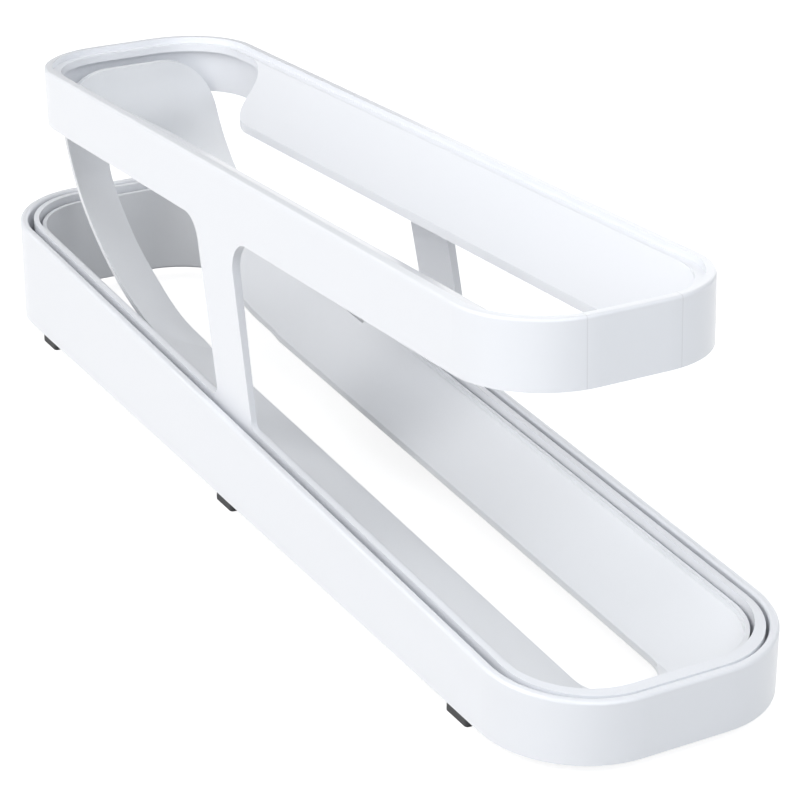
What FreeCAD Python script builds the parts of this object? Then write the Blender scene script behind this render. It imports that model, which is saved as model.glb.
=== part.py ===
# Rolling egg holder: a base ring on six feet, a lower track with its rear chute, and an upper tier.
# Eggs go in at the front of the upper tier, roll to the rear opening, drop onto the chute and roll
# forward along the lower track to the front wall.
# Frame: +Z up, front at -Y, origin on the resting surface below the middle of the base. Millimetres.
import FreeCAD, Part
import math
import os
import Sketcher
from FreeCAD import Placement, Rotation, Vector

# Driving dimensions, one value each, in millimetres and degrees.
SIZES = {
    # base ring
    "base_width": 85.0,
    "base_length": 365.0,
    "base_corner": 29.5,
    "base_wall": 2.65,
    "base_front_height": 18.0,
    "base_rear_height": 35.8,
    "rim_round": 0.9,
    "foot_drop": 3.3,
    # feet and the ledges over them
    "foot_length": 10.8,
    "foot_width": 7.0,
    "foot_corner": 1.0,
    "foot_inset": 0.8,
    "foot_recess": 1.3,
    "foot_clearance": 0.1,
    "foot_setback": 43.5,
    "ledge_length": 18.0,
    "ledge_height": 3.0,
    "ledge_rib_rise": 3.0,
    "ledge_fence": 1.2,
    "slide_clearance": 0.3,
    # collar of the upper tier, inside the base ring
    "collar_gap": 2.0,
    "collar_wall": 1.8,
    "collar_front_gap": 0.2,
    # lower track
    "track_gap": 1.1,
    "track_wall": 1.3,
    "track_lip_drop": 2.3,
    "track_edge_drop": 3.5,
    "track_slot_drop": 14.8,
    "track_thick": 2.0,
    "rail_curve": 150.0,
    "slot_half": 12.0,
    "slot_front_margin": 22.0,
    # chute at the rear of the track
    "notch_setback": 135.5,
    "chute_setback": 113.6,
    "chute_radius": 113.4,
    "chute_bend_height": 50.2,
    "chute_bend_radius": 55.5,
    "chute_edge_drop": 5.1,
    "chute_foot_half": 31.3,
    "chute_top_half": 28.2,
    "chute_head_gap": 1.0,
    "chute_corner": 18.6,
    "chute_slot_top": 69.5,
    # band and tray of the upper tier
    "band_width": 73.7,
    "band_corner": 26.3,
    "band_front_setback": 30.0,
    "band_rear_setback": 18.0,
    "band_height": 19.2,
    "band_front_top": 111.7,
    "band_rear_top": 95.5,
    "band_wall": 2.2,
    "band_round": 0.9,
    "lip_width": 2.7,
    "lip_depth": 1.9,
    "shelf_width": 2.8,
    "plate_thick": 2.4,
    "tray_slot_drop": 14.3,
    "drop_hole_length": 53.9,
    "drop_hole_corner": 21.4,
    "drop_hole_throat": 18.1,
    # struts
    "strut_width": 23.0,
    "strut_wall": 2.7,
    "strut_top_y": 14.0,
    "strut_foot_y": -1.7,
    "strut_top_fillet": 9.0,
    "strut_foot_fillet": 3.0,
    # working values: how far cutters run past a face, and how near counts as touching
    "overrun": 10.0,
    "near_enough": 0.001,
}

# The chute's sections on its lower arc and on its upper, tighter one: share of the arc's sweep, share of the
# trough's depth there, and share of the way from the foot's width to the top's width.
LOWER_SHARES = [(0.0, 1.0, 0.0), (0.25, 1.02, 0.175), (0.5, 1.05, 0.35), (0.75, 1.07, 0.525)]
UPPER_SHARES = [
    (0.0, 1.07, 0.7), (0.15, 1.07, 0.78), (0.29, 1.04, 0.85), (0.39, 0.9, 0.9), (0.47, 0.65, 0.94),
    (0.55, 0.33, 0.98), (0.62, 0.12, 1.0), (0.69, 0.02, 1.0), (0.76, 0.0, 1.0), (0.88, 0.0, 1.0),
    (1.03, 0.0, 1.0),
]

# Where the strut's side view has its corners: shares of its width, from its middle line.
STRUT_SHARES = (-1.0, -0.5, 0.5, 1.0)

doc = FreeCAD.newDocument("egg_holder")
sheet = doc.addObject("Spreadsheet::Sheet", "sizes")


def fill_sheet():
    """Puts each driving dimension in a cell of its own, under its alias."""
    for row, (alias, number) in enumerate(SIZES.items(), start=1):
        sheet.set("A%d" % row, alias)
        sheet.set("B%d" % row, str(number))
        sheet.setAlias("B%d" % row, alias)
    doc.recompute()


def size(formula):
    """Works a formula in the sheet's aliases out to a plain number."""
    answer = sheet.evalExpression(formula)
    return float(getattr(answer, "Value", answer))


def bound(formula):
    """The same formula with each alias pointed at the sheet, for setExpression."""
    words = []
    word = ""
    for letter in formula + " ":
        if letter.isalnum() or letter == "_":
            word += letter
            continue
        words.append("sizes." + word if word in SIZES else word)
        words.append(letter)
        word = ""
    return "".join(words).strip()


def bind(thing, prop, formula):
    """Ties a property to a formula."""
    thing.setExpression(prop, bound(formula))


# Formulas that more than one piece uses.
BASE_HALF = "base_width / 2"
END = "base_length / 2"
RIM_SLOPE = "((base_rear_height - base_front_height) / base_length)"
RIM_TILT = "atan(%s)" % RIM_SLOPE
RIM_MID = "(foot_drop + (base_front_height + base_rear_height) / 2)"
LEDGE_TOP = "(foot_drop + ledge_height)"
COLLAR_OUT = "(base_wall + collar_gap)"
COLLAR_IN = "(base_wall + collar_gap + collar_wall)"
TRACK_OUT = "(base_wall + collar_gap + collar_wall + track_gap)"
TRACK_IN = "(base_wall + collar_gap + collar_wall + track_gap + track_wall)"
TRACK_MID_WALL = "(base_wall + collar_gap + collar_wall + track_gap + track_wall / 2)"
FOOT_PLACE = "(%s - foot_setback)" % END
NOTCH = "(%s - notch_setback)" % END
CHUTE_START = "(%s - chute_setback)" % END
CHUTE_RISE = "(chute_radius - chute_edge_drop)"
CHUTE_Y = "(%s * cos(%s) - %s * sin(%s))" % (CHUTE_START, RIM_TILT, CHUTE_RISE, RIM_TILT)
CHUTE_Z = "(%s + %s * sin(%s) + %s * cos(%s))" % (RIM_MID, CHUTE_START, RIM_TILT, CHUTE_RISE, RIM_TILT)
BEND_TURN = "acos((%s - chute_bend_height) / chute_radius)" % CHUTE_Z
BEND_Y = "(%s + (chute_radius - chute_bend_radius) * sin(%s))" % (CHUTE_Y, BEND_TURN)
BEND_Z = "(%s - (chute_radius - chute_bend_radius) * cos(%s))" % (CHUTE_Z, BEND_TURN)
CHUTE_TOP = "(band_rear_top - lip_depth - plate_thick - chute_head_gap)"
TOP_TURN = "acos((%s - %s) / chute_bend_radius)" % (BEND_Z, CHUTE_TOP)
BAND_HALF = "band_width / 2"
BAND_LENGTH = "(base_length - band_front_setback - band_rear_setback)"
BAND_SLOPE = "((band_front_top - band_rear_top) / %s)" % BAND_LENGTH
BAND_TILT = "atan(%s)" % BAND_SLOPE
BAND_MID = ("0", "(band_front_setback - band_rear_setback) / 2", "(band_front_top + band_rear_top) / 2")
BAND_END = "(%s / 2)" % BAND_LENGTH
SHELF = "(lip_width + shelf_width)"


def arc_between(start, end, radius, turn):
    """The short arc from start to end. turn is 1 where it bends left, -1 where it bends right."""
    chord = end - start
    across = Vector(-chord.y, chord.x, 0).normalize()
    reach = math.sqrt(max(radius ** 2 - (chord.Length / 2) ** 2, 0.0))
    centre = start + chord * 0.5 + across * (reach * turn)
    angles = [math.atan2(point.y - centre.y, point.x - centre.x) for point in (start, end)]
    if turn < 0:
        angles.reverse()
    if angles[1] < angles[0]:
        angles[1] += 2 * math.pi
    return Part.ArcOfCircle(Part.Circle(centre, Vector(0, 0, 1), radius), angles[0], angles[1])


def add_loop(sketch, corners, arcs):
    """Adds one closed loop. corners are pairs of formulas; arcs maps the number of the corner that an
    arc starts from to its radius formula and its turn."""
    points = [Vector(size(across), size(up), 0) for across, up in corners]
    ends = []
    for number, start in enumerate(points):
        end = points[(number + 1) % len(points)]
        if number in arcs:
            radius, turn = arcs[number]
            edge = sketch.addGeometry(arc_between(start, end, size(radius), turn), False)
            limit = sketch.addConstraint(Sketcher.Constraint("Radius", edge, size(radius)))
            sketch.setExpression("Constraints[%d]" % limit, bound(radius))
            ends.append((edge, 1, 2) if turn > 0 else (edge, 2, 1))
        else:
            edge = sketch.addGeometry(Part.LineSegment(start, end), False)
            ends.append((edge, 1, 2))
    for number, (edge, first, last) in enumerate(ends):
        following, start_point, _ = ends[(number + 1) % len(ends)]
        sketch.addConstraint(Sketcher.Constraint("Coincident", edge, last, following, start_point))
        for axis, formula, number_mm in zip("XY", corners[number], points[number]):
            place = Sketcher.Constraint("Distance" + axis, -1, 1, edge, first, number_mm)
            limit = sketch.addConstraint(place)
            sketch.setExpression("Constraints[%d]" % limit, bound(formula))


def make_sketch(name, loops, turn_about_x="0", origin=("0", "0", "0"), side_view=False):
    """A sketch of closed loops. It lies flat, turned about X by a formula, or in the side view."""
    sketch = doc.addObject("Sketcher::SketchObject", name)
    if side_view:
        turned = Rotation(Vector(1, 1, 1), 120)
    else:
        turned = Rotation(Vector(1, 0, 0), size(turn_about_x))
    sketch.Placement = Placement(Vector(*[size(part) for part in origin]), turned)
    for axis, part in zip("xyz", origin):
        bind(sketch, "Placement.Base.%s" % axis, part)
    if not side_view:
        bind(sketch, "Placement.Rotation.Angle", turn_about_x)
    for corners, arcs in loops:
        add_loop(sketch, corners, arcs)
    return sketch


def extrude(name, sketch, forward, backward="0"):
    """A solid from a sketch, along its normal."""
    solid = doc.addObject("Part::Extrusion", name)
    solid.Base = sketch
    solid.DirMode = "Normal"
    solid.Solid = True
    bind(solid, "LengthFwd", forward)
    bind(solid, "LengthRev", backward)
    return solid


def combine(kind, name, shapes):
    """A Part boolean: MultiFuse, MultiCommon, or Cut of the first shape by the second."""
    result = doc.addObject("Part::" + kind, name)
    if kind == "Cut":
        result.Base, result.Tool = shapes
    else:
        result.Shapes = shapes
    doc.recompute()
    return result


def round_edges(name, base, radius, chosen):
    """Rounds the edges of base for which chosen(edge) holds."""
    doc.recompute()
    numbers = [number for number, edge in enumerate(base.Shape.Edges, start=1) if chosen(edge)]
    if not numbers:
        raise RuntimeError("no edge to round on " + base.Name)
    rounded = doc.addObject("Part::Fillet", name)
    rounded.Base = base
    rounded.Edges = [(number, size(radius), size(radius)) for number in numbers]
    doc.recompute()
    return rounded


def rounded_outline(half, front, rear, corner):
    """A rectangle with round corners, counter-clockwise from the left end of its front side."""
    inner = "(%s) - (%s)" % (half, corner)
    corners = [
        ("-(%s)" % inner, front), (inner, front),
        (half, "(%s) + (%s)" % (front, corner)), (half, "(%s) - (%s)" % (rear, corner)),
        (inner, rear), ("-(%s)" % inner, rear),
        ("-(%s)" % half, "(%s) - (%s)" % (rear, corner)), ("-(%s)" % half, "(%s) + (%s)" % (front, corner)),
    ]
    return corners, {number: (corner, 1) for number in (1, 3, 5, 7)}


def base_outline(inset):
    """The base ring's outline, drawn in by a formula."""
    return rounded_outline("%s - %s" % (BASE_HALF, inset), "-(%s - %s)" % (END, inset),
                           "%s - %s" % (END, inset), "base_corner - %s" % inset)


def band_outline(inset):
    """The band's outline in its own tilted plane, drawn in by a formula."""
    return rounded_outline("%s - %s" % (BAND_HALF, inset), "-(%s - %s)" % (BAND_END, inset),
                           "%s - %s" % (BAND_END, inset), "band_corner - %s" % inset)


def rectangle(left, right, front, rear):
    """A plain rectangle from four formulas."""
    return [(left, front), (right, front), (right, rear), (left, rear)], {}


def slot_outline(front, rear):
    """The gap between two rails, round at its front end."""
    centre = "(%s) + slot_half" % front
    corners = [("slot_half", centre), ("slot_half", rear), ("-slot_half", rear), ("-slot_half", centre),
               ("0", front)]
    return corners, {3: ("slot_half", 1), 4: ("slot_half", 1)}


def mirrored(loop):
    """A loop without arcs, on the other side of the middle plane."""
    corners, arcs = loop
    return [("-(%s)" % across, up) for across, up in reversed(corners)], arcs


def trough(edge, ledge, floor, thick):
    """A trough's section: ledges, rails that curve down to the slot's edges, and a floor between them.
    edge and ledge are widths and heights of the outer end and of the rail's upper end."""
    steep = "(((%s) - (%s)) / ((%s) - slot_half))" % (floor, ledge[1], ledge[0])
    below = "((%s) / cos(atan(%s)))" % (thick, steep)
    right = [("slot_half", "-(%s)" % floor), (ledge[0], "-(%s)" % ledge[1]), (edge[0], "-(%s)" % edge[1])]
    under = [(edge[0], "-(%s) - (%s)" % (edge[1], thick)), (ledge[0], "-(%s) - (%s)" % (ledge[1], thick)),
             ("slot_half", "-(%s) - %s" % (floor, below))]
    left = [("-(%s)" % across, up) for across, up in reversed(right + under)]
    corners = right + under + left
    arcs = {0: ("rail_curve", 1), 4: ("rail_curve", -1), 6: ("rail_curve", -1), 10: ("rail_curve", 1)}
    return corners, arcs


def below_rim(name, low, drop, front, rear):
    """Everything from the height low up to the sloping rim plane, less a drop, between two places."""
    high = "%s + (%s) * %s - (%s)"
    corners = [(front, low), (rear, low), (rear, high % (RIM_MID, rear, RIM_SLOPE, drop)),
               (front, high % (RIM_MID, front, RIM_SLOPE, drop))]
    sketch = make_sketch(name + "_side", [(corners, {})], side_view=True)
    return extrude(name, sketch, "base_width", "base_width")


def sloping_ring(name, outer, inner, low, drop="0"):
    """A wall between two outlines, from low up to the rim plane less a drop."""
    tall = extrude(name + "_tall", make_sketch(name + "_plan", [outer, inner]),
                   "foot_drop + base_rear_height + overrun")
    slab = below_rim(name + "_slab", low, drop, "-(%s + overrun)" % END, "(%s + overrun)" % END)
    return combine("MultiCommon", name, [tall, slab])


def lies_at(edge, height_at):
    """Whether all of an edge lies at the height that height_at gives for its place along the object."""
    first, last = edge.ParameterRange
    points = [edge.valueAt(first + (last - first) * share) for share in (0.0, 0.5, 1.0)]
    return all(abs(point.z - height_at(point.y)) < size("near_enough") for point in points)


def rim_height(place):
    """The height of the base's rim plane at a place along the object."""
    return size(RIM_MID) + size(RIM_SLOPE) * place


def band_height_at(place):
    """The height of the band's top plane at a place along the object."""
    return size(BAND_MID[2]) - size(BAND_SLOPE) * (place - size(BAND_MID[1]))


def make_ledges():
    """Six brackets inside the base wall. The collar and the track stand on them, each beside a rib."""
    wall = "%s - base_wall / 2" % BASE_HALF
    fence_out = "%s - %s - slide_clearance" % (BASE_HALF, TRACK_IN)
    fence_in = "%s - ledge_fence" % fence_out
    rib_in = "%s - %s + slide_clearance" % (BASE_HALF, COLLAR_OUT)
    rib_top = "%s + ledge_rib_rise" % LEDGE_TOP
    right = [(fence_in, "foot_drop"), (wall, "foot_drop"), (wall, rib_top), (rib_in, rib_top),
             (rib_in, LEDGE_TOP), (fence_out, LEDGE_TOP), (fence_out, rib_top), (fence_in, rib_top)], {}
    ledges = []
    for name, place in (("front", "-" + FOOT_PLACE), ("middle", "0"), ("rear", FOOT_PLACE)):
        section = make_sketch("ledges_%s_section" % name, [right, mirrored(right)], "90 deg",
                              ("0", place, "0"))
        ledges.append(extrude("ledges_" + name, section, "ledge_length / 2", "ledge_length / 2"))
    return ledges


def make_base_ring():
    """The outer wall: a racetrack in plan that rises to the rear, with the feet's recesses below."""
    wall = sloping_ring("base_wall", base_outline("0"), base_outline("base_wall"), "foot_drop")
    wall_round = round_edges("base_wall_round", wall, "rim_round", lambda edge: lies_at(edge, rim_height))
    whole = combine("MultiFuse", "base_whole", [wall_round] + make_ledges())
    outer = "%s - foot_inset + foot_clearance" % BASE_HALF
    inner = "%s - foot_inset - foot_width - foot_clearance" % BASE_HALF
    recesses = []
    for place in ("-" + FOOT_PLACE, "0", FOOT_PLACE):
        front = "%s - foot_length / 2 - foot_clearance" % place
        rear = "%s + foot_length / 2 + foot_clearance" % place
        recess = rectangle(inner, outer, front, rear)
        recesses += [recess, mirrored(recess)]
    cutter = extrude("foot_recesses", make_sketch("foot_recess_plan", recesses), "foot_drop + foot_recess")
    ring = combine("Cut", "base_ring", [whole, cutter])
    ring.Label = "base_ring"
    return ring


def make_foot(name, side, place):
    """A rubber pad that stands in its recess and carries the object."""
    block = doc.addObject("Part::Box", name + "_block")
    bind(block, "Length", "foot_width")
    bind(block, "Width", "foot_length")
    bind(block, "Height", "foot_drop + foot_recess")
    edge_of_foot = "%s - foot_inset" % BASE_HALF
    left = "%s - foot_width" % edge_of_foot if side > 0 else "-(%s)" % edge_of_foot
    bind(block, "Placement.Base.x", left)
    bind(block, "Placement.Base.y", "%s - foot_length / 2" % place)
    foot = round_edges(name, block, "foot_corner",
                       lambda edge: abs(edge.tangentAt(edge.FirstParameter).z) > 0.5)
    foot.Label = name
    return foot


def make_feet():
    """Three feet on each side."""
    places = (("front", "-" + FOOT_PLACE), ("middle", "0"), ("rear", FOOT_PLACE))
    return [make_foot("foot_%s_%s" % (where, side_name), side, place)
            for where, place in places for side_name, side in (("left", -1), ("right", 1))]


def make_straight_track():
    """The two rails and the floor at their front end. The rails are full width up to the notches."""
    edge = ("%s - %s" % (BASE_HALF, TRACK_MID_WALL), "track_edge_drop")
    rail_top = ("chute_foot_half", "chute_edge_drop")
    wide_origin = ("0", "%s * cos(%s)" % (NOTCH, RIM_TILT), "%s + %s * sin(%s)" % (RIM_MID, NOTCH, RIM_TILT))
    wide_section = make_sketch("track_wide_section",
                               [trough(edge, rail_top, "track_slot_drop", "track_thick")],
                               "90 deg + %s" % RIM_TILT, wide_origin)
    wide = extrude("track_wide", wide_section, "%s + %s + overrun" % (END, NOTCH))
    plan = make_sketch("track_clip_plan", [base_outline(TRACK_MID_WALL)])
    clip = extrude("track_clip", plan, "foot_drop + base_rear_height + overrun")
    return combine("MultiCommon", "track_wide_clipped", [wide, clip])


def chute_section(trough_depth, half, radius):
    """A section of the chute, in the plane through its axis: two rails and the floor between them."""
    steep = "((%s) / ((%s) - slot_half))" % (trough_depth, half)
    below = "(track_thick / cos(atan(%s)))" % steep
    right = [("slot_half", "-(%s) - (%s)" % (radius, trough_depth)), (half, "-(%s)" % radius)]
    under = [(half, "-(%s) - track_thick" % radius),
             ("slot_half", "-(%s) - (%s) - %s" % (radius, trough_depth, below))]
    left = [("-(%s)" % across, up) for across, up in reversed(right + under)]
    return right + under + left, {0: ("rail_curve", 1), 2: ("rail_curve", -1), 4: ("rail_curve", -1),
                                  6: ("rail_curve", 1)}


def make_chute():
    """The curved ramp behind the rails. Its trough fades out into a plain panel above the slot."""
    sections = []
    arcs = (("lower", CHUTE_Y, CHUTE_Z, "chute_radius", RIM_TILT, BEND_TURN, LOWER_SHARES),
            ("upper", BEND_Y, BEND_Z, "chute_bend_radius", BEND_TURN, TOP_TURN, UPPER_SHARES))
    for arc, centre_y, centre_z, radius, first, last, shares in arcs:
        for number, (sweep_share, trough_share, width_share) in enumerate(shares):
            half = "(chute_foot_half + (chute_top_half - chute_foot_half) * %s)" % width_share
            depth = "((track_slot_drop - chute_edge_drop) * %s)" % trough_share
            turn = "90 deg + %s + (%s - %s) * %s" % (first, last, first, sweep_share)
            sections.append(make_sketch("chute_%s_%02d" % (arc, number), [chute_section(depth, half, radius)],
                                        turn, ("0", centre_y, centre_z)))
    ramp = doc.addObject("Part::Loft", "chute_ramp")
    ramp.Sections = sections
    ramp.Solid = True
    ramp.Ruled = False
    corner_start = "%s - chute_corner" % CHUTE_TOP
    wide = "chute_foot_half + overrun"
    flat = "chute_top_half - chute_corner"
    corners = [("-(%s)" % wide, "0"), (wide, "0"), (wide, corner_start), ("chute_top_half", corner_start),
               (flat, CHUTE_TOP), ("-(%s)" % flat, CHUTE_TOP),
               ("-chute_top_half", corner_start), ("-(%s)" % wide, corner_start)]
    rounds = {3: ("chute_corner", 1), 5: ("chute_corner", 1)}
    front_view = make_sketch("chute_front_view", [(corners, rounds)], "90 deg")
    shape = extrude("chute_front_prism", front_view, "0", END)
    return combine("MultiCommon", "chute", [ramp, shape])


def make_track_slot():
    """The gap between the lower rails, which runs on up the chute to a round top."""
    gap = slot_outline("-%s + slot_front_margin" % END, CHUTE_Y + " + overrun")
    flat = extrude("track_slot", make_sketch("track_slot_plan", [gap]), RIM_MID)
    centre = "chute_slot_top - slot_half"
    corners = [("-slot_half", "0"), ("slot_half", "0"), ("slot_half", centre), ("0", "chute_slot_top"),
               ("-slot_half", centre)]
    arch = make_sketch("chute_slot_view", [(corners, {2: ("slot_half", 1), 3: ("slot_half", 1)})], "90 deg",
                       ("0", CHUTE_Y, "0"))
    return [flat, extrude("chute_slot", arch, "0", END)]


def make_egg_track():
    """The lower track: a skirt that stands on the ledges, the sloping rails inside it, and the chute."""
    narrow_origin = ("0", "%s * cos(%s)" % (CHUTE_START, RIM_TILT),
                     "%s + %s * sin(%s)" % (RIM_MID, CHUTE_START, RIM_TILT))
    narrow_section = make_sketch(
        "track_narrow_section",
        [chute_section("track_slot_drop - chute_edge_drop", "chute_foot_half", "chute_edge_drop")],
        "90 deg + %s" % RIM_TILT, narrow_origin)
    narrow = extrude("track_narrow", narrow_section, "%s - %s" % (CHUTE_START, NOTCH))
    rails = combine("MultiFuse", "track_rails", [make_straight_track(), narrow, make_chute()])
    slots = combine("MultiFuse", "track_slots", make_track_slot())
    open_rails = combine("Cut", "track_open_rails", [rails, slots])
    skirt = sloping_ring("track_skirt", base_outline(TRACK_OUT), base_outline(TRACK_IN), LEDGE_TOP,
                         "track_lip_drop")
    track = combine("MultiFuse", "egg_track", [skirt, open_rails])
    track.Label = "egg_track"
    return track


def on_band(name, loops, deep, high="0"):
    """A solid below the band's top plane: from the depth high down to the depth deep."""
    tilt = "-%s" % BAND_TILT
    origin = ("0", "%s - (%s) * sin(%s)" % (BAND_MID[1], high, BAND_TILT),
              "%s - (%s) * cos(%s)" % (BAND_MID[2], high, BAND_TILT))
    return extrude(name, make_sketch(name + "_plan", loops, tilt, origin), "0", "(%s) - (%s)" % (deep, high))


def make_band():
    """The upper tier's racetrack band with its lip, and the shelf and rails inside it."""
    block = on_band("band_block", [band_outline("0")], "band_height")
    soft_block = round_edges("band_soft_block", block, "band_round",
                             lambda edge: lies_at(edge, band_height_at))
    core = on_band("band_core", [band_outline("band_wall")], "band_height + overrun", "-overrun")
    wall = combine("Cut", "band_wall_ring", [soft_block, core])
    lip = on_band("band_lip", [band_outline("band_wall / 2"), band_outline("lip_width")], "lip_depth")
    shelf = on_band("band_shelf", [band_outline("band_wall / 2"), band_outline(SHELF)],
                    "lip_depth + plate_thick", "lip_depth")
    edge = ("%s - band_wall / 2" % BAND_HALF, "lip_depth")
    rail_top = ("%s - %s" % (BAND_HALF, SHELF), "lip_depth")
    section = make_sketch("tray_section", [trough(edge, rail_top, "tray_slot_drop", "plate_thick")],
                          "90 deg - %s" % BAND_TILT, BAND_MID)
    tray = extrude("tray", section, "%s - band_wall / 2" % BAND_END, "%s - band_corner" % BAND_END)
    clip = on_band("tray_clip", [band_outline("band_wall / 2")], "band_height")
    tray_clipped = combine("MultiCommon", "tray_clipped", [tray, clip])
    end_plan = [band_outline("band_wall / 2"), band_outline(SHELF)]
    end_ring = on_band("tray_end_ring", end_plan, "tray_slot_drop + plate_thick", "lip_depth")
    end_half = on_band("tray_end_half", [rectangle("-%s" % BAND_HALF, BAND_HALF, "-%s" % BAND_END,
                                                   "-(%s - band_corner)" % BAND_END)], "band_height")
    end_wall = combine("MultiCommon", "tray_end_wall", [end_ring, end_half])
    return combine("MultiFuse", "band_solid", [wall, lip, shelf, tray_clipped, end_wall])


def make_drop_opening():
    """The opening that eggs drop through, with the slot between the upper rails running into it."""
    rear = "(%s - %s)" % (BAND_END, SHELF)
    rear_corner = "(band_corner - %s)" % SHELF
    half = "(%s - %s)" % (BAND_HALF, SHELF)
    turn_x = "(%s - drop_hole_corner)" % half
    turn_y = "(%s - drop_hole_length + drop_hole_corner)" % rear
    bends = "(drop_hole_corner + drop_hole_throat)"
    across = "(slot_half + drop_hole_throat - %s)" % turn_x
    along = "sqrt(pow(%s; 2) - pow(%s; 2))" % (bends, across)
    meet_x = "%s + %s * drop_hole_corner / %s" % (turn_x, across, bends)
    meet_y = "%s - %s * drop_hole_corner / %s" % (turn_y, along, bends)
    throat_y = "%s - %s" % (turn_y, along)
    front = "-%s + slot_front_margin" % BAND_END
    slot_y = front + " + slot_half"
    corners = [
        ("slot_half", slot_y), ("slot_half", throat_y), (meet_x, meet_y), (half, turn_y),
        (half, "%s - %s" % (rear, rear_corner)), ("%s - %s" % (half, rear_corner), rear),
        ("-(%s - %s)" % (half, rear_corner), rear), ("-" + half, "%s - %s" % (rear, rear_corner)),
        ("-" + half, turn_y), ("-(%s)" % meet_x, meet_y), ("-slot_half", throat_y), ("-slot_half", slot_y),
        ("0", front),
    ]
    arcs = {1: ("drop_hole_throat", -1), 2: ("drop_hole_corner", 1), 4: (rear_corner, 1),
            6: (rear_corner, 1), 8: ("drop_hole_corner", 1), 9: ("drop_hole_throat", -1),
            11: ("slot_half", 1), 12: ("slot_half", 1)}
    return on_band("drop_opening", [(corners, arcs)], "band_height + overrun", "-overrun")


def rim_at(place):
    """The rim plane's height at a place along the object, as a formula."""
    return "(%s + (%s) * %s)" % (RIM_MID, place, RIM_SLOPE)


def band_bottom_at(place):
    """The height of the band's lower edge at a place along the object, as a formula."""
    return "(%s - ((%s) - (%s)) * %s - band_height)" % (BAND_MID[2], place, BAND_MID[1], BAND_SLOPE)


def strut_side():
    """A strut in the side view: its blade, with a strip along the rim and one along the band that its
    fillets run into. Gives the loop, and the blade's corners at its foot and at its top."""
    def along(place, share, height):
        spot = "%s + strut_width * %s" % (place, share)
        return spot, height(spot)

    def sunk(corner, sign):
        return corner[0], "%s %s plate_thick" % (corner[1], sign)
    feet = [along("strut_foot_y", share, rim_at) for share in STRUT_SHARES]
    tops = [along("strut_top_y", share, band_bottom_at) for share in STRUT_SHARES]
    corners = [sunk(feet[0], "-"), sunk(feet[3], "-"), feet[3], feet[2], tops[2], tops[3],
               sunk(tops[3], "+"), sunk(tops[0], "+"), tops[0], tops[1], feet[1], feet[0]]
    return (corners, {}), feet[1:3], tops[1:3]


def make_struts():
    """Two legs that carry the band on the collar. They lean back and, going down, a little outwards."""
    loop, feet, tops = strut_side()
    block = extrude("strut_block", make_sketch("strut_side", [loop], side_view=True), BASE_HALF, BASE_HALF)

    def runs_along(corners):
        spots = [(size(place), size(height)) for place, height in corners]

        def chosen(edge):
            ends = [edge.valueAt(parameter) for parameter in edge.ParameterRange]
            return any(all(abs(end.y - place) + abs(end.z - height) < size("near_enough") for end in ends)
                       for place, height in spots)
        return chosen
    top_round = round_edges("strut_top_round", block, "strut_top_fillet", runs_along(tops))
    both_round = round_edges("strut_both_round", top_round, "strut_foot_fillet", runs_along(feet))
    collar_out = "%s - %s" % (BASE_HALF, COLLAR_OUT)
    collar_in = "%s - %s" % (BASE_HALF, COLLAR_IN)
    band_in = "%s - strut_wall" % BAND_HALF
    low = rim_at("strut_foot_y")
    low_end = "%s - plate_thick - strut_width * %s" % (low, RIM_SLOPE)
    high = band_bottom_at("strut_top_y")
    high_end = "%s + plate_thick + strut_width * %s" % (high, BAND_SLOPE)
    lean = [(collar_in, low_end), (collar_out, low_end), (collar_out, low), (BAND_HALF, high),
            (BAND_HALF, high_end), (band_in, high_end), (band_in, high), (collar_in, low)], {}
    lean_sketch = make_sketch("strut_front_view", [lean, mirrored(lean)], "90 deg")
    strips = extrude("strut_strips", lean_sketch, END, END)
    return combine("MultiCommon", "struts", [both_round, strips])


def make_collar():
    """The wall that stands in the base ring. It is thicker at the front, where it meets the ring."""
    outer = rounded_outline("%s - %s" % (BASE_HALF, COLLAR_OUT), "-(%s - base_wall - collar_front_gap)" % END,
                            "%s - %s" % (END, COLLAR_OUT), "base_corner - %s" % COLLAR_OUT)
    return sloping_ring("collar", outer, base_outline(COLLAR_IN), LEDGE_TOP)


def make_upper_tier():
    """The upper tier in one piece: band and rails, struts and collar."""
    open_band = combine("Cut", "band_open", [make_band(), make_drop_opening()])
    tier = combine("MultiFuse", "upper_tier", [open_band, make_struts(), make_collar()])
    tier.Label = "upper_tier"
    return tier


def check_document():
    """Stops if any object failed to build."""
    doc.recompute()
    for thing in doc.Objects:
        if "Invalid" in thing.State or "Error" in thing.State:
            raise RuntimeError("%s did not build: %s" % (thing.Name, thing.State))


def write_steps(pieces):
    """Writes each piece to its own file."""
    os.makedirs("parts", exist_ok=True)
    for piece in pieces:
        shape = piece.Shape
        if shape.isNull() or not shape.isValid() or len(shape.Solids) != 1:
            raise RuntimeError("%s is not one valid solid" % piece.Label)
        shape.exportStep("parts/%s.step" % piece.Label)
        box = shape.BoundBox
        print("%-20s volume %9.1f  x %7.2f %7.2f  y %8.2f %8.2f  z %7.2f %7.2f"
              % (piece.Label, shape.Volume, box.XMin, box.XMax, box.YMin, box.YMax, box.ZMin, box.ZMax))


fill_sheet()
all_pieces = [make_base_ring()] + make_feet() + [make_egg_track(), make_upper_tier()]
check_document()
write_steps(all_pieces)
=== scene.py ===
# The rolling egg holder: finishes for its plastic and rubber, a pale floor, soft light and the camera.
import math

import bpy
import bmesh
from mathutils import Matrix, Vector

# The two colours that each finish drifts between: the base ring's and the tier's, the track's, the feet's.
RING_COLOURS = ((0.852, 0.868, 0.905), (0.868, 0.880, 0.912))
# The track's colours are the same white plastic as the ring's, made a few percent darker as painted shade
# for the shade that falls in the track.
TRACK_SHADE_DARKENED_COLOURS = ((0.828, 0.842, 0.868), (0.842, 0.854, 0.878))
FOOT_COLOURS = ((0.030, 0.030, 0.033), (0.045, 0.045, 0.048))

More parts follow.
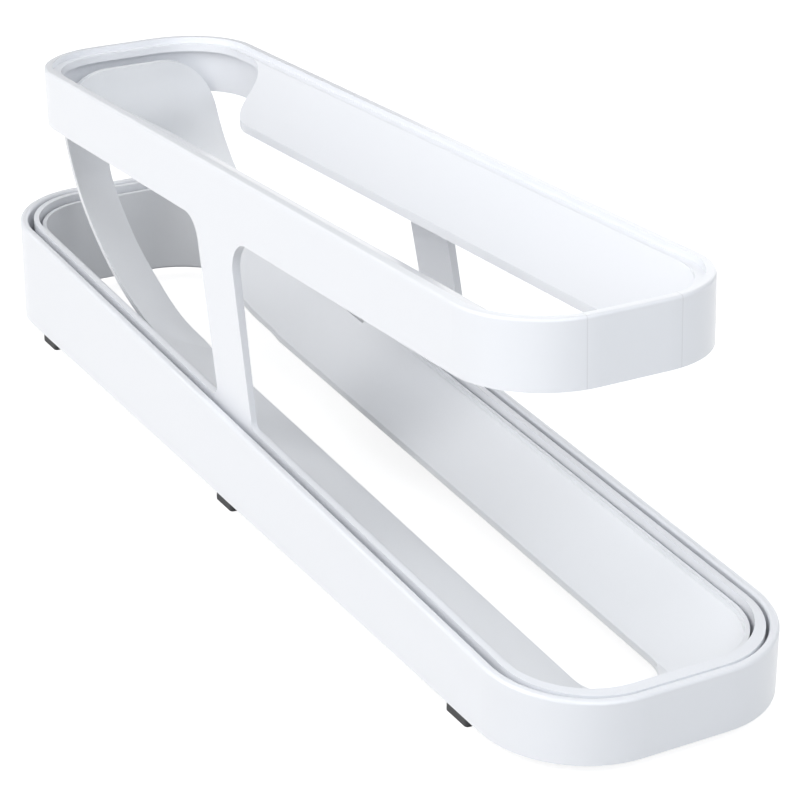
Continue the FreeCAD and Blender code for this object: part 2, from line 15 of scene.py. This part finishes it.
# Finishes: colours, roughness, its spread, the noise scales of flow, grain and drift (so many to a metre),
# the bump's height in metres, and the coat's weight.
RING_FINISH = (RING_COLOURS, 0.30, 0.06, (9.0, 900.0, 14.0), 0.00006, 0.25)
TRACK_FINISH = (TRACK_SHADE_DARKENED_COLOURS, 0.38, 0.06, (9.0, 1100.0, 14.0), 0.00006, 0.1)
FOOT_FINISH = (FOOT_COLOURS, 0.62, 0.12, (60.0, 1500.0, 120.0), 0.00015, 0.0)

# What all finishes share: the refraction, the coat's roughness, the grain's share of the bump beside the
# flow's, and the detail and the middle of the noises.
REFRACTION = 1.49
COAT_ROUGHNESS = 0.1
GRAIN_SHARE = 0.05
FLOW_DETAIL = 1.0
GRAIN_DETAIL = 2.0
DRIFT_DETAIL = 2.0
NOISE_MIDDLE = 0.5

# The parting lines: how far from the middle, how wide, and where they stop, in metres.
PARTING_HALF = 0.0140
PARTING_WIDTH = 0.0003
PARTING_BEHIND = -0.1480
PARTING_ABOVE = 0.0860
PARTING_COLOUR = (0.78, 0.79, 0.82)

# The floor: half its side in metres, its grey, its roughness, and its glow in the picture and in the gloss.
FLOOR_HALF = 6.0
FLOOR_GREY = 0.48
FLOOR_ROUGHNESS = 0.8
FLOOR_GLOW = 0.80

# Light: the world's strength on the object and in the picture, and the point that every panel faces.
WORLD_LIGHT = 0.31
WORLD_SEEN = 1.0
AIM = (0.0, 0.0, 0.06)
WHITE = (1.0, 1.0, 1.0)

# Panels: name, place and size in metres, power in watts, colour. The fills don't show in the gloss.
PANELS = (
    ("panel_above", (0.0, 0.0, 1.46), (1.0, 1.0), 1.0, WHITE),
    ("panel_left_high", (-0.8, 0.0, 1.21), (1.0, 1.0), 5.8, WHITE),
    ("panel_left_low", (-1.3, 0.0, 0.58), (1.0, 1.0), 8.5, WHITE),
    ("panel_front", (-0.11, -1.21, 0.76), (1.0, 1.0), 6.4, (0.91, 0.955, 1.0)),
    ("panel_front_high", (-0.1, -1.0, 1.15), (1.0, 1.0), 2.5, (0.95, 0.975, 1.0)),
    ("panel_rear_right", (1.06, 0.89, 0.25), (1.0, 1.0), 4.0, WHITE),
    ("fill_right", (1.38, 0.0, 0.35), (1.6, 0.6), 2.2, (0.93, 0.965, 1.0)),
    ("fill_rear", (0.0, 1.38, 0.35), (1.6, 0.6), 4.0, (0.93, 0.965, 1.0)),
)

# The camera: its place in metres, its turn, downward tilt and roll in degrees, its lens and its sensor's
# width in millimetres, and its shift in sensor widths.
CAMERA_PLACE = (-0.3325, -0.6301, 0.3494)
CAMERA_TURN = -29.57
CAMERA_DOWN = 23.45
CAMERA_ROLL = 0.41
CAMERA_LENS = 115.58
CAMERA_SENSOR = 36.0
CAMERA_SHIFT = (-0.0214, -0.0553)


def socket_group(name, inputs, outputs):
    """An empty shader node group with named sockets, and the nodes at its two ends."""
    group = bpy.data.node_groups.new(name, "ShaderNodeTree")
    for label, kind in inputs:
        group.interface.new_socket(label, in_out="INPUT", socket_type=kind)
    for label, kind in outputs:
        group.interface.new_socket(label, in_out="OUTPUT", socket_type=kind)
    return group, group.nodes.new("NodeGroupInput"), group.nodes.new("NodeGroupOutput")


def add_math(tree, operation, *values):
    """A math node. Each value is a number, or the output that is linked there. Gives its own output."""
    node = tree.nodes.new("ShaderNodeMath")
    node.operation = operation
    for place, value in enumerate(values):
        if isinstance(value, bpy.types.NodeSocket):
            tree.links.new(value, node.inputs[place])
        else:
            node.inputs[place].default_value = value
    return node.outputs[0]


def add_noise(tree, place, scale, detail):
    """A noise texture. place and scale are the outputs that are linked there. Gives its own output."""
    noise = tree.nodes.new("ShaderNodeTexNoise")
    noise.inputs["Detail"].default_value = detail
    tree.links.new(place, noise.inputs["Vector"])
    tree.links.new(scale, noise.inputs["Scale"])
    return noise.outputs["Fac"]


def add_mix(tree, factor, plain, other):
    """A mix of two colours. factor and plain are outputs, other is one too or a colour. Gives its output."""
    mix = tree.nodes.new("ShaderNodeMix")
    mix.data_type = "RGBA"
    tree.links.new(factor, mix.inputs["Factor"])
    tree.links.new(plain, mix.inputs["A"])
    if isinstance(other, bpy.types.NodeSocket):
        tree.links.new(other, mix.inputs["B"])
    else:
        mix.inputs["B"].default_value = (*other, 1.0)
    return mix.outputs["Result"]


def make_moulded_skin():
    """How a mould leaves plastic: broad flow waves, a fine grain, and roughness that goes with the waves."""
    group, given, out = socket_group(
        "moulded_skin",
        (("Flow Size", "NodeSocketFloat"), ("Grain Size", "NodeSocketFloat"),
         ("Grain Share", "NodeSocketFloat"), ("Roughness", "NodeSocketFloat"),
         ("Spread", "NodeSocketFloat")),
        (("Roughness", "NodeSocketFloat"), ("Height", "NodeSocketFloat")))
    place = group.nodes.new("ShaderNodeTexCoord").outputs["Object"]
    flow = add_noise(group, place, given.outputs["Flow Size"], FLOW_DETAIL)
    grain = add_noise(group, place, given.outputs["Grain Size"], GRAIN_DETAIL)
    swing = add_math(group, "SUBTRACT", flow, NOISE_MIDDLE)
    rough = add_math(group, "MULTIPLY_ADD", swing, given.outputs["Spread"], given.outputs["Roughness"])
    height = add_math(group, "MULTIPLY_ADD", grain, given.outputs["Grain Share"], flow)
    group.links.new(rough, out.inputs["Roughness"])
    group.links.new(height, out.inputs["Height"])
    return group


def make_colour_drift():
    """A colour that drifts a little over a piece, as it does in moulded plastic and in rubber."""
    group, given, out = socket_group(
        "colour_drift",
        (("Colour", "NodeSocketColor"), ("Other Colour", "NodeSocketColor"), ("Size", "NodeSocketFloat")),
        (("Colour", "NodeSocketColor"),))
    place = group.nodes.new("ShaderNodeTexCoord").outputs["Object"]
    drift = add_noise(group, place, given.outputs["Size"], DRIFT_DETAIL)
    mixed = add_mix(group, drift, given.outputs["Colour"], given.outputs["Other Colour"])
    group.links.new(mixed, out.inputs["Colour"])
    return group


def finish(name, colours, roughness, spread, scales, bump_height, coat):
    """A material with the moulded skin and the colour drift, from its name and a row of the finishes."""
    material = bpy.data.materials.new(name)
    material.use_nodes = True
    tree = material.node_tree
    shader = tree.nodes["Principled BSDF"]
    shader.inputs["IOR"].default_value = REFRACTION
    shader.inputs["Coat Weight"].default_value = coat
    shader.inputs["Coat Roughness"].default_value = COAT_ROUGHNESS
    flow_scale, grain_scale, drift_scale = scales
    skin = tree.nodes.new("ShaderNodeGroup")
    skin.node_tree = moulded_skin
    skin.inputs["Flow Size"].default_value = flow_scale
    skin.inputs["Grain Size"].default_value = grain_scale
    skin.inputs["Grain Share"].default_value = GRAIN_SHARE
    skin.inputs["Roughness"].default_value = roughness
    skin.inputs["Spread"].default_value = spread
    drift = tree.nodes.new("ShaderNodeGroup")
    drift.node_tree = colour_drift
    drift.inputs["Colour"].default_value = (*colours[0], 1.0)
    drift.inputs["Other Colour"].default_value = (*colours[1], 1.0)
    drift.inputs["Size"].default_value = drift_scale
    bump = tree.nodes.new("ShaderNodeBump")
    bump.inputs["Strength"].default_value = 1.0
    bump.inputs["Distance"].default_value = bump_height
    tree.links.new(drift.outputs["Colour"], shader.inputs["Base Color"])
    tree.links.new(skin.outputs["Roughness"], shader.inputs["Roughness"])
    tree.links.new(skin.outputs["Height"], bump.inputs["Height"])
    tree.links.new(bump.outputs["Normal"], shader.inputs["Normal"])
    return material


def add_parting_lines(material):
    """Two fine upright lines where the mould's slides met, on the front of the band."""
    tree = material.node_tree
    place = tree.nodes.new("ShaderNodeTexCoord").outputs["Object"]
    axes = tree.nodes.new("ShaderNodeSeparateXYZ")
    tree.links.new(place, axes.inputs[0])
    off_middle = add_math(tree, "ABSOLUTE", axes.outputs["X"])
    off_line = add_math(tree, "ABSOLUTE", add_math(tree, "SUBTRACT", off_middle, PARTING_HALF))
    near = add_math(tree, "LESS_THAN", off_line, PARTING_WIDTH / 2)
    in_front = add_math(tree, "LESS_THAN", axes.outputs["Y"], PARTING_BEHIND)
    high = add_math(tree, "GREATER_THAN", axes.outputs["Z"], PARTING_ABOVE)
    line = add_math(tree, "MULTIPLY", add_math(tree, "MULTIPLY", near, in_front), high)
    colour = tree.nodes["Principled BSDF"].inputs["Base Color"]
    lined = add_mix(tree, line, colour.links[0].from_socket, PARTING_COLOUR)
    tree.links.new(lined, colour)


def dress(name, material):
    """Gives a CAD node its finish."""
    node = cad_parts[name]
    node.data.materials.clear()
    node.data.materials.append(material)


def lay_floor():
    """A plain pale floor that keeps the object's shadow."""
    shape = bmesh.new()
    bmesh.ops.create_grid(shape, x_segments=1, y_segments=1, size=FLOOR_HALF)
    mesh = bpy.data.meshes.new("floor")
    shape.to_mesh(mesh)
    shape.free()
    floor = bpy.data.objects.new("floor", mesh)
    bpy.context.collection.objects.link(floor)
    material = bpy.data.materials.new("pale_floor")
    material.use_nodes = True
    tree = material.node_tree
    shader = tree.nodes["Principled BSDF"]
    shader.inputs["Base Color"].default_value = (FLOOR_GREY, FLOOR_GREY, FLOOR_GREY, 1.0)
    shader.inputs["Roughness"].default_value = FLOOR_ROUGHNESS
    shader.inputs["Specular IOR Level"].default_value = 0.0
    shader.inputs["Emission Color"].default_value = (*WHITE, 1.0)
    path = tree.nodes.new("ShaderNodeLightPath")
    seen = add_math(tree, "MAXIMUM", path.outputs["Is Camera Ray"], path.outputs["Is Glossy Ray"])
    glow = add_math(tree, "MULTIPLY", seen, FLOOR_GLOW)
    tree.links.new(glow, shader.inputs["Emission Strength"])
    mesh.materials.append(material)


def light_studio():
    """Soft light, mostly from the left and the front, and a white world behind."""
    world = bpy.data.worlds.new("studio")
    world.use_nodes = True
    bpy.context.scene.world = world
    nodes, links = world.node_tree.nodes, world.node_tree.links
    glow = nodes["Background"]
    glow.inputs["Color"].default_value = (*WHITE, 1.0)
    path = nodes.new("ShaderNodeLightPath")
    seen = nodes.new("ShaderNodeMapRange")
    seen.inputs["To Min"].default_value = WORLD_LIGHT
    seen.inputs["To Max"].default_value = WORLD_SEEN
    links.new(path.outputs["Is Camera Ray"], seen.inputs["Value"])
    links.new(seen.outputs["Result"], glow.inputs["Strength"])
    for name, place, across, power, colour in PANELS:
        lamp = bpy.data.lights.new(name, "AREA")
        lamp.shape = "RECTANGLE"
        lamp.size, lamp.size_y = across
        lamp.energy = power
        lamp.color = colour
        panel = bpy.data.objects.new(name, lamp)
        toward = (Vector(AIM) - Vector(place)).to_track_quat("-Z", "Y")
        panel.matrix_world = Matrix.Translation(place) @ toward.to_matrix().to_4x4()
        panel.visible_glossy = name.startswith("panel")
        bpy.context.collection.objects.link(panel)


def set_camera():
    """The photograph's view, from the front left and above."""
    lens = bpy.data.cameras.new("view")
    lens.sensor_width = CAMERA_SENSOR
    lens.lens = CAMERA_LENS
    lens.shift_x, lens.shift_y = CAMERA_SHIFT
    camera = bpy.data.objects.new("view", lens)
    camera.matrix_world = (Matrix.Translation(CAMERA_PLACE)
                           @ Matrix.Rotation(math.radians(CAMERA_TURN), 4, "Z")
                           @ Matrix.Rotation(math.radians(90.0 - CAMERA_DOWN), 4, "X")
                           @ Matrix.Rotation(math.radians(CAMERA_ROLL), 4, "Z"))
    bpy.context.collection.objects.link(camera)
    bpy.context.scene.camera = camera


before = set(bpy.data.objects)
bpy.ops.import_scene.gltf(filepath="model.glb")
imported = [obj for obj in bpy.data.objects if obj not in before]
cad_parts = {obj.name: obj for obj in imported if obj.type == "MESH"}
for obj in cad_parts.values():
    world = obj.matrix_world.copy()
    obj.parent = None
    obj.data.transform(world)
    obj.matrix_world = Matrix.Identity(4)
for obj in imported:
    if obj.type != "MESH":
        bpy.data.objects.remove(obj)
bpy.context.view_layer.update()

moulded_skin = make_moulded_skin()
colour_drift = make_colour_drift()
base_plastic = finish("base_plastic", *RING_FINISH)
track_plastic = finish("track_plastic", *TRACK_FINISH)
tier_plastic = finish("tier_plastic", *RING_FINISH)
foot_rubber = finish("foot_rubber", *FOOT_FINISH)
add_parting_lines(tier_plastic)
dress("base_ring", base_plastic)
dress("egg_track", track_plastic)
dress("upper_tier", tier_plastic)
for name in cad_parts:
    if name.startswith("foot"):
        dress(name, foot_rubber)

lay_floor()
light_studio()
set_camera()

bpy.context.scene.view_settings.view_transform = "Standard"
bpy.context.view_layer.update()
